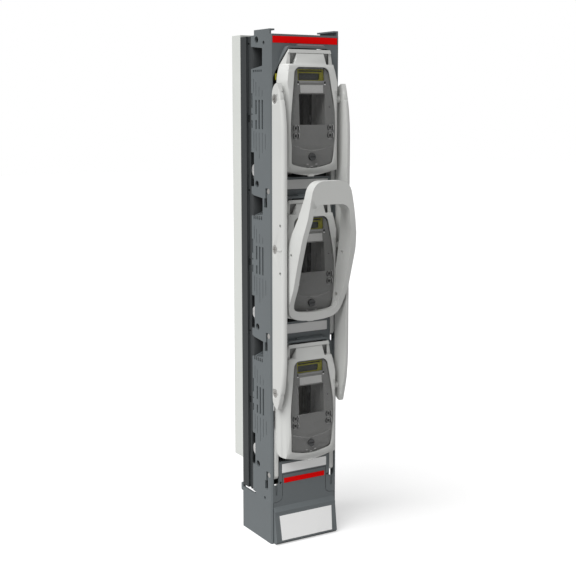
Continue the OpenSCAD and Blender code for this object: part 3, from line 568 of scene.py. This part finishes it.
rail = {
    "edge": 0.0011,
    "keep": -15.5,         # nothing behind this depth moves, so the screw holes stay round
    "front": -30.0,
    # the front edge's depth by distance from the rail's end
    "slope": [(0, -16.0), (3, -17.6), (7.3, -18.9), (20, -23.4), (33, -26.7), (50, -29.0), (67, -30.0)],
    "cuts": (3, 7.3, 13, 20, 26, 33, 41, 50, 67),
}


def slimEnds(bm):
    # the rails slim towards both ends in one long line
    low = min(v.co.z for v in bm.verts)
    high = max(v.co.z for v in bm.verts)
    for step in rail["cuts"]:
        for z in (low + step / 1000, high - step / 1000):
            sliced(bm, (0, 0, z), (0, 0, 1))
    for vert in bm.verts:
        y = measured(vert.co)[1]
        fromEnd = min(vert.co.z - low, high - vert.co.z) * 1000
        if y < rail["keep"]:
            part = (along(rail["slope"], fromEnd) - rail["keep"]) / (rail["front"] - rail["keep"])
            vert.co.y = (rail["keep"] + (y - rail["keep"]) * part) / 1000 - backY


for side in ("left", "right"):
    form = mergedForm(f"rail_{side}")
    slimEnds(form)
    softened(form, f"rail_{side}", f"{side}RailBody", f"{side}_rail", "lid", rail["edge"], 3)
print("rails done")

ring = {
    "edge": 0.0012,
    # how far the lower part of the ring lies nearer to the lid, by height in the pole
    "sink": [(111, 5.0), (124, 6.2), (135, 5.6), (146, 3.0), (158, 0)],
    "front": [(111, 26), (123, 30), (134, 33.5), (157, 39.8)],    # how far its front stood out before
    "still": 16,           # nothing nearer to the housing than this moves
}


def ringForm():
    bm = mergedForm("pull_ring")
    for vert in bm.verts:
        y, z = measured(vert.co)[1:]
        z -= poleRise(2)
        part = share(-y, ring["still"], along(ring["front"], z) - ring["still"])
        vert.co.y += along(ring["sink"], z) * part / 1000
    return bm


softened(ringForm(), "pull_ring", "pullRingBody", "lid_2", "lid", ring["edge"], 3)
print("ring done")

window = {"edge": 0.0003, "gap": 0.4, "from": 15}     # what lies past 15 mm moves in by the gap
for n in poles:
    cover = mergedForm(f"window_cover_{n}")
    for vert in cover.verts:
        if abs(vert.co.x) > window["from"] / 1000:
            vert.co.x -= math.copysign(window["gap"] / 1000, vert.co.x)
    softened(cover, f"window_cover_{n}", f"smokedWindow{n}", f"lid_{n}", "smoked", window["edge"], 2)
print("windows done")


def touching(verts, kind):
    # the edges or faces at some points, each once
    return list(dict.fromkeys(part for v in verts for part in getattr(v, kind)))


def slab(bm, low, high, edge=0.0, rise=0):
    # a small moulded block between two corners, its edges eased
    low = (*low[:2], low[2] + rise)
    high = (*high[:2], high[2] + rise)
    verts = bmesh.ops.create_cube(bm, size=1)["verts"]
    bmesh.ops.scale(bm, vec=[(b - a) / 1000 for a, b in zip(low, high)], verts=verts)
    bmesh.ops.translate(bm, vec=place(*[(a + b) / 2 for a, b in zip(low, high)]), verts=verts)
    if edge:
        eased(bm, touching(verts, "link_edges"), edge / 1000, 2)
        return []
    return verts


def bothSides(low, high, edge=0.0):
    # a block on the right, and the same one on the left
    return ((-high[0], *low[1:]), (-low[0], *high[1:]), edge), (low, high, edge)


def blocks(name, body, look, shapes, rise=0):
    # one piece out of a few blocks
    bm = bmesh.new()
    for low, high, edge in shapes:
        slab(bm, low, high, edge, rise)
    finishPiece(bm, name, body, look)


def turned(bm, verts, centre, degrees, axis="Y"):
    turn = Matrix.Rotation(math.radians(degrees), 3, axis)
    bmesh.ops.rotate(bm, cent=centre, matrix=turn, verts=verts)


lockMarks = {
    "thick": 0.12,
    "side": {"x": 6.5, "y": -16.55, "z": 126.6, "width": 2.6, "height": 0.5},
    "low": {"x": 0, "y": -16.1, "z": 123.9, "width": 3.4, "height": 0.5},
    "lean": 9,
}


def markBar(bm, mark, side, rise):
    # a plain bar on the window
    half = (mark["width"] / 2, lockMarks["thick"] / 2, mark["height"] / 2)
    centre = (side * mark["x"], mark["y"], mark["z"] + rise)
    low = [c - h for c, h in zip(centre, half)]
    high = [c + h for c, h in zip(centre, half)]
    verts = slab(bm, low, high)
    if mark["x"]:
        turned(bm, verts, place(*centre), -side * lockMarks["lean"])


latchSill = ((-19.7, -14.9, 224.4), (19.7, -12.6, 229.2), 0.3)     # under the latch
latchBack = ((-19.0, -9.2, 229.6), (19.0, -8.6, 243.0), 0.1)       # behind its slot
windowPegs = {
    "pegs": ((18.3, -15.3, 225.6), (20.5, -14.2, 228.4), 0.3),
    # pale blocks below the pegs: painted highlights
    "paintedHighlights": ((18.5, -15.5, 224.2), (20.3, -14.4, 225.3), 0.2),
    "dot": ((24.1, -17.3, 196.3), (25.9, -16.4, 198.1), 0.4),
}
chamberRibs = {
    "x": (20.1, 20.7),     # on the cheek beside the fuse
    "halfDepth": 0.4,
    "edge": 0.15,
    # depth, and height from and to
    "edges": [(8.3, 176, 196.8), (8.3, 205.2, 212.5), (-8.6, 176, 181), (-8.6, 189.6, 205.6)],
}
testHoles = {
    "places": [(-24.6, 171.2), (-24.6, 161.8), (25.6, 171.8), (25.6, 162.2)],
    "depth": -18.55,
    "thick": 0.3,
    # a dark arc on both sides, and outside them a thin pale one that is a painted highlight: radius, width,
    # start and turn in degrees
    "darkArcs": [(4.0, 0.9, -55, 110), (4.0, 0.9, 125, 110)],
    "highlightArcs": [(5.0, 0.35, -50, 80)],
    "core": {"half": (1.4, 1.3), "front": 0.1, "back": 0.3, "edge": 0.2},
    "arcSteps": 10,
}


def ringPart(bm, x, z, radius, width, start, turn):
    # a piece of a flat ring on the window, spun round its own centre
    y = testHoles["depth"]
    centre = place(x, y, z)
    bar = bmesh.ops.create_grid(bm, x_segments=1, y_segments=1, size=0.5)["verts"]
    bmesh.ops.scale(bm, vec=(width / 1000, testHoles["thick"] / 1000, 1), verts=bar)
    bmesh.ops.translate(bm, vec=place(x + radius, y, z), verts=bar)
    turned(bm, bar, centre, start)
    shape = bar + touching(bar, "link_edges") + touching(bar, "link_faces")
    bmesh.ops.spin(bm, geom=shape, cent=centre, axis=(0, 1, 0), angle=math.radians(turn),
                   steps=testHoles["arcSteps"], use_merge=False, use_duplicate=False)


def testRings(n, rise):
    dark = bmesh.new()
    light = bmesh.new()
    core = testHoles["core"]
    acrossHalf, upHalf = core["half"]
    y = testHoles["depth"]
    for x, z in testHoles["places"]:
        for arc in testHoles["darkArcs"]:
            ringPart(dark, x, z + rise, *arc)
        slab(dark, (x - acrossHalf, y - core["front"], z - upHalf),
             (x + acrossHalf, y + core["back"], z + upHalf), core["edge"], rise)
        # the pale arcs are painted highlights
        for arc in testHoles["highlightArcs"]:
            ringPart(light, x, z + rise, *arc)
    finishPiece(dark, f"testRings{n}", f"lid_{n}", "mark")
    finishPiece(light, f"testGlints{n}", f"lid_{n}", "whiteAndPaintedHighlight")


for n in poles:
    rise = poleRise(n)
    body = f"lid_{n}"
    bm = bmesh.new()
    for side in sides:
        markBar(bm, lockMarks["side"], side, rise)
    markBar(bm, lockMarks["low"], 1, rise)
    finishPiece(bm, f"lockMarks{n}", body, "whiteAndPaintedHighlight")
    blocks(f"latchSill{n}", body, "liner", [latchSill], rise)
    blocks(f"latchBack{n}", body, "insert", [latchBack], rise)
    pegs = [*bothSides(*windowPegs["pegs"]), windowPegs["dot"]]
    blocks(f"windowPegs{n}", body, "mark", pegs, rise)
    # painted highlights below the pegs
    blocks(f"pegHighlights{n}", body, "whiteAndPaintedHighlight", bothSides(*windowPegs["paintedHighlights"]), rise)
    testRings(n, rise)
    near, far = chamberRibs["x"]
    half = chamberRibs["halfDepth"]
    ribs = [((near, y - half, low), (far, y + half, high), chamberRibs["edge"])
            for y, low, high in chamberRibs["edges"]]
    blocks(f"chamberRibs{n}", body, "pale", ribs, rise)
print("window details done")

# dark joints round the bottom cover, and inner walls that the openings of the housing show
coverJoints = {
    "top": ((-33.9, -0.05, 92.5), (33.9, 0.3, 93.2), 0),
    "side": ((33.15, -0.05, 64), (33.65, 0.3, 92.8)),
}
blocks("coverJoints", "housing", "mark", [coverJoints["top"], *bothSides(*coverJoints["side"])])

innerWalls = {
    "cables": ((-46.8, 26, 57), (-36, 27, 100), 0.2),
    "windows": ((33.2, 48.9, 243.6), (47.3, 49.4, 272.4), 0.1),
}
bm = bmesh.new()
slab(bm, *innerWalls["cables"])
for n in poles:
    for shape in bothSides(*innerWalls["windows"]):
        slab(bm, *shape, poleRise(n))
finishPiece(bm, "innerWalls", "housing", "insert")

# sloping grille that forms the floor of each side window
grille = {
    "corners": [(-46.9, 21.0, 247.1), (-46.9, 49.3, 244.0), (-33.0, 51.6, 249.2)],
    "thick": 1.0,
    "slits": 5,
    "pitch": 4.9,
    "first": 23.8,
    "slitHalf": 1.0,
    "slitDepth": 0.1,
    "outer": -46.5,        # the slits start here, and reach further in towards the back
    "reachFrom": 21.0,
    "reachShare": 0.40,
    "bar": (-42.6, -41.6),   # a bar crosses them here
    "shortest": 0.8,
}
strokes = {
    "low": (-50.06, -1.0, 243.2),    # they lead over the wall's edge, under the grilles of poles 2 and 3
    "high": (-49.9, 1.0, 245.4),
    "centre": (-50, 244.2),
    "lean": 22,
}


def grilleHeight(x, y):
    # height of the sloping floor over a point of the plan
    (ax, ay, az), (bx, by, bz), (cx, cy, cz) = grille["corners"]
    back = (bz - az) / (by - ay)
    return az + back * (y - ay) + (cz - az - back * (cy - ay)) * (x - ax) / (cx - ax)


def grilleFloor(bm, side, rise):
    corners = [bm.verts.new(place(-side * x, y, z + rise)) for x, y, z in grille["corners"]]
    pulled(bm, bm.faces.new(corners), (0, 0, -grille["thick"] / 1000))


def toSide(bm, verts, side):
    # a form made for the left is mirrored for the right
    if side > 0:
        bmesh.ops.scale(bm, vec=(-1, 1, 1), verts=verts)


def grilleSlit(bm, side, y, rise):
    # one slit across the floor, in two parts with a bar between them, each a thin black slab: painted shade
    # that stands for the open slit
    reach = grille["outer"] + (y - grille["reachFrom"]) * grille["reachShare"]
    half, depth = grille["slitHalf"], grille["slitDepth"]
    for a, b in ((grille["outer"], min(reach, grille["bar"][0])), (grille["bar"][1], reach)):
        if b - a < grille["shortest"]:
            continue
        middle = (a + b) / 2
        z = grilleHeight(middle, y)
        verts = slab(bm, (a, y - half, z - depth), (b, y + half, z + depth), rise=rise)
        lean = (grilleHeight(b, y) - grilleHeight(a, y)) / (b - a)
        turned(bm, verts, place(middle, y, z + rise), -math.degrees(math.atan(lean)))
        toSide(bm, verts, side)


def stroke(bm, side, y, rise):
    # one dark stroke on the outside of the wall, painted shade that stands for a slit's opening there
    (x0, y0, z0), (x1, y1, z1) = strokes["low"], strokes["high"]
    verts = slab(bm, (x0, y + y0, z0), (x1, y + y1, z1), rise=rise)
    x, z = strokes["centre"]
    turned(bm, verts, place(x, y, z + rise), strokes["lean"], "X")
    toSide(bm, verts, side)


for n in poles:
    rise = poleRise(n)
    floorPlate = bmesh.new()
    slits = bmesh.new()
    for side in sides:
        grilleFloor(floorPlate, side, rise)
        for k in range(grille["slits"]):
            y = grille["first"] + grille["pitch"] * k
            grilleSlit(slits, side, y, rise)
            if n > 1:
                stroke(slits, side, y, rise)
    finishPiece(floorPlate, f"windowGrille{n}", "housing", "shell")
    # the slits are painted shade: thin black slabs on the floor plate, not cuts through it
    finishPiece(slits, f"grilleSlits{n}", "housing", "mark")
print("grilles done")

stage = {
    "floorZ": -midZ,
    "floorSize": 8,
    "floorTone": 0.5,
    "floorGlow": 0.5,
    "floorRough": 0.9,
    "paperScale": 60,
    "paperStrength": 0.05,
    "worldStrength": 0.33,
    "keyStrength": 3.9,
    "keyFrom": (-0.58, -0.18, 0.79),
    "keyAngle": 50,
    "cameraPlace": (-0.7269, -1.2826, 0.1839),
    "cameraYaw": 30.687,
    "cameraPitch": 9.2536,
    "cameraLens": 68.276,
    "sensorWidth": 36,
}
white = (1, 1, 1, 1)


def addObject(name, data):
    obj = bpy.data.objects.new(name, data)
    bpy.context.scene.collection.objects.link(obj)
    return obj


def paperMaterial():
    # matt paper that glows for the camera only, so the object gets no light from it
    mat, tree, shader = newMaterial("floorPaper")
    shader.inputs["Base Color"].default_value = (*[stage["floorTone"]] * 3, 1)
    shader.inputs["Roughness"].default_value = stage["floorRough"]
    paper = noise(tree, objectPlace(tree), Scale=stage["paperScale"])
    lift = tree.nodes.new("ShaderNodeBump")
    lift.inputs["Strength"].default_value = stage["paperStrength"]
    link(tree, paper, lift.inputs["Height"])
    link(tree, lift.outputs["Normal"], shader.inputs["Normal"])
    glow = tree.nodes.new("ShaderNodeEmission")
    glow.inputs["Color"].default_value = white
    glow.inputs["Strength"].default_value = stage["floorGlow"]
    ray = tree.nodes.new("ShaderNodeLightPath")
    add = tree.nodes.new("ShaderNodeAddShader")
    mix = tree.nodes.new("ShaderNodeMixShader")
    link(tree, shader.outputs["BSDF"], add.inputs[0])
    link(tree, glow.outputs["Emission"], add.inputs[1])
    link(tree, ray.outputs["Is Camera Ray"], mix.inputs["Fac"])
    link(tree, shader.outputs["BSDF"], mix.inputs[1])
    link(tree, add.outputs["Shader"], mix.inputs[2])
    link(tree, mix.outputs["Shader"], tree.nodes["Material Output"].inputs["Surface"])
    return mat


def studioSky():
    # soft light on the object, and plain white for the camera and through the smoked windows
    world = bpy.data.worlds.new("studioSky")
    world.use_nodes = True
    tree = world.node_tree
    lit = tree.nodes["Background"]
    seen = tree.nodes.new("ShaderNodeBackground")
    for background, strength in ((lit, stage["worldStrength"]), (seen, 1.0)):
        background.inputs["Color"].default_value = white
        background.inputs["Strength"].default_value = strength
    ray = tree.nodes.new("ShaderNodeLightPath")
    most = mathNode(tree, "MAXIMUM", ray.outputs["Is Camera Ray"], ray.outputs["Is Transmission Ray"])
    mix = tree.nodes.new("ShaderNodeMixShader")
    link(tree, most, mix.inputs["Fac"])
    link(tree, lit.outputs["Background"], mix.inputs[1])
    link(tree, seen.outputs["Background"], mix.inputs[2])
    link(tree, mix.outputs["Shader"], tree.nodes["World Output"].inputs["Surface"])
    return world


bm = bmesh.new()
bmesh.ops.create_grid(bm, x_segments=1, y_segments=1, size=stage["floorSize"])
bmesh.ops.translate(bm, vec=(0, 0, stage["floorZ"]), verts=bm.verts)
mesh = bpy.data.meshes.new("studioFloor")
bm.to_mesh(mesh)
bm.free()
floor = addObject("studioFloor", mesh)
floor.data.materials.append(paperMaterial())
bpy.context.scene.world = studioSky()

sun = bpy.data.lights.new("keyLight", "SUN")
sun.energy = stage["keyStrength"]
sun.angle = math.radians(stage["keyAngle"])
key = addObject("keyLight", sun)
key.rotation_euler = Vector(stage["keyFrom"]).to_track_quat("Z", "Y").to_euler()

camData = bpy.data.cameras.new("photoCamera")
camData.lens = stage["cameraLens"]
camData.sensor_width = stage["sensorWidth"]
camera = addObject("photoCamera", camData)
camera.location = stage["cameraPlace"]
camera.rotation_euler = (math.radians(90 - stage["cameraPitch"]), 0, math.radians(-stage["cameraYaw"]))
bpy.context.scene.camera = camera
bpy.context.scene.view_settings.view_transform = "Standard"
print("stage done")
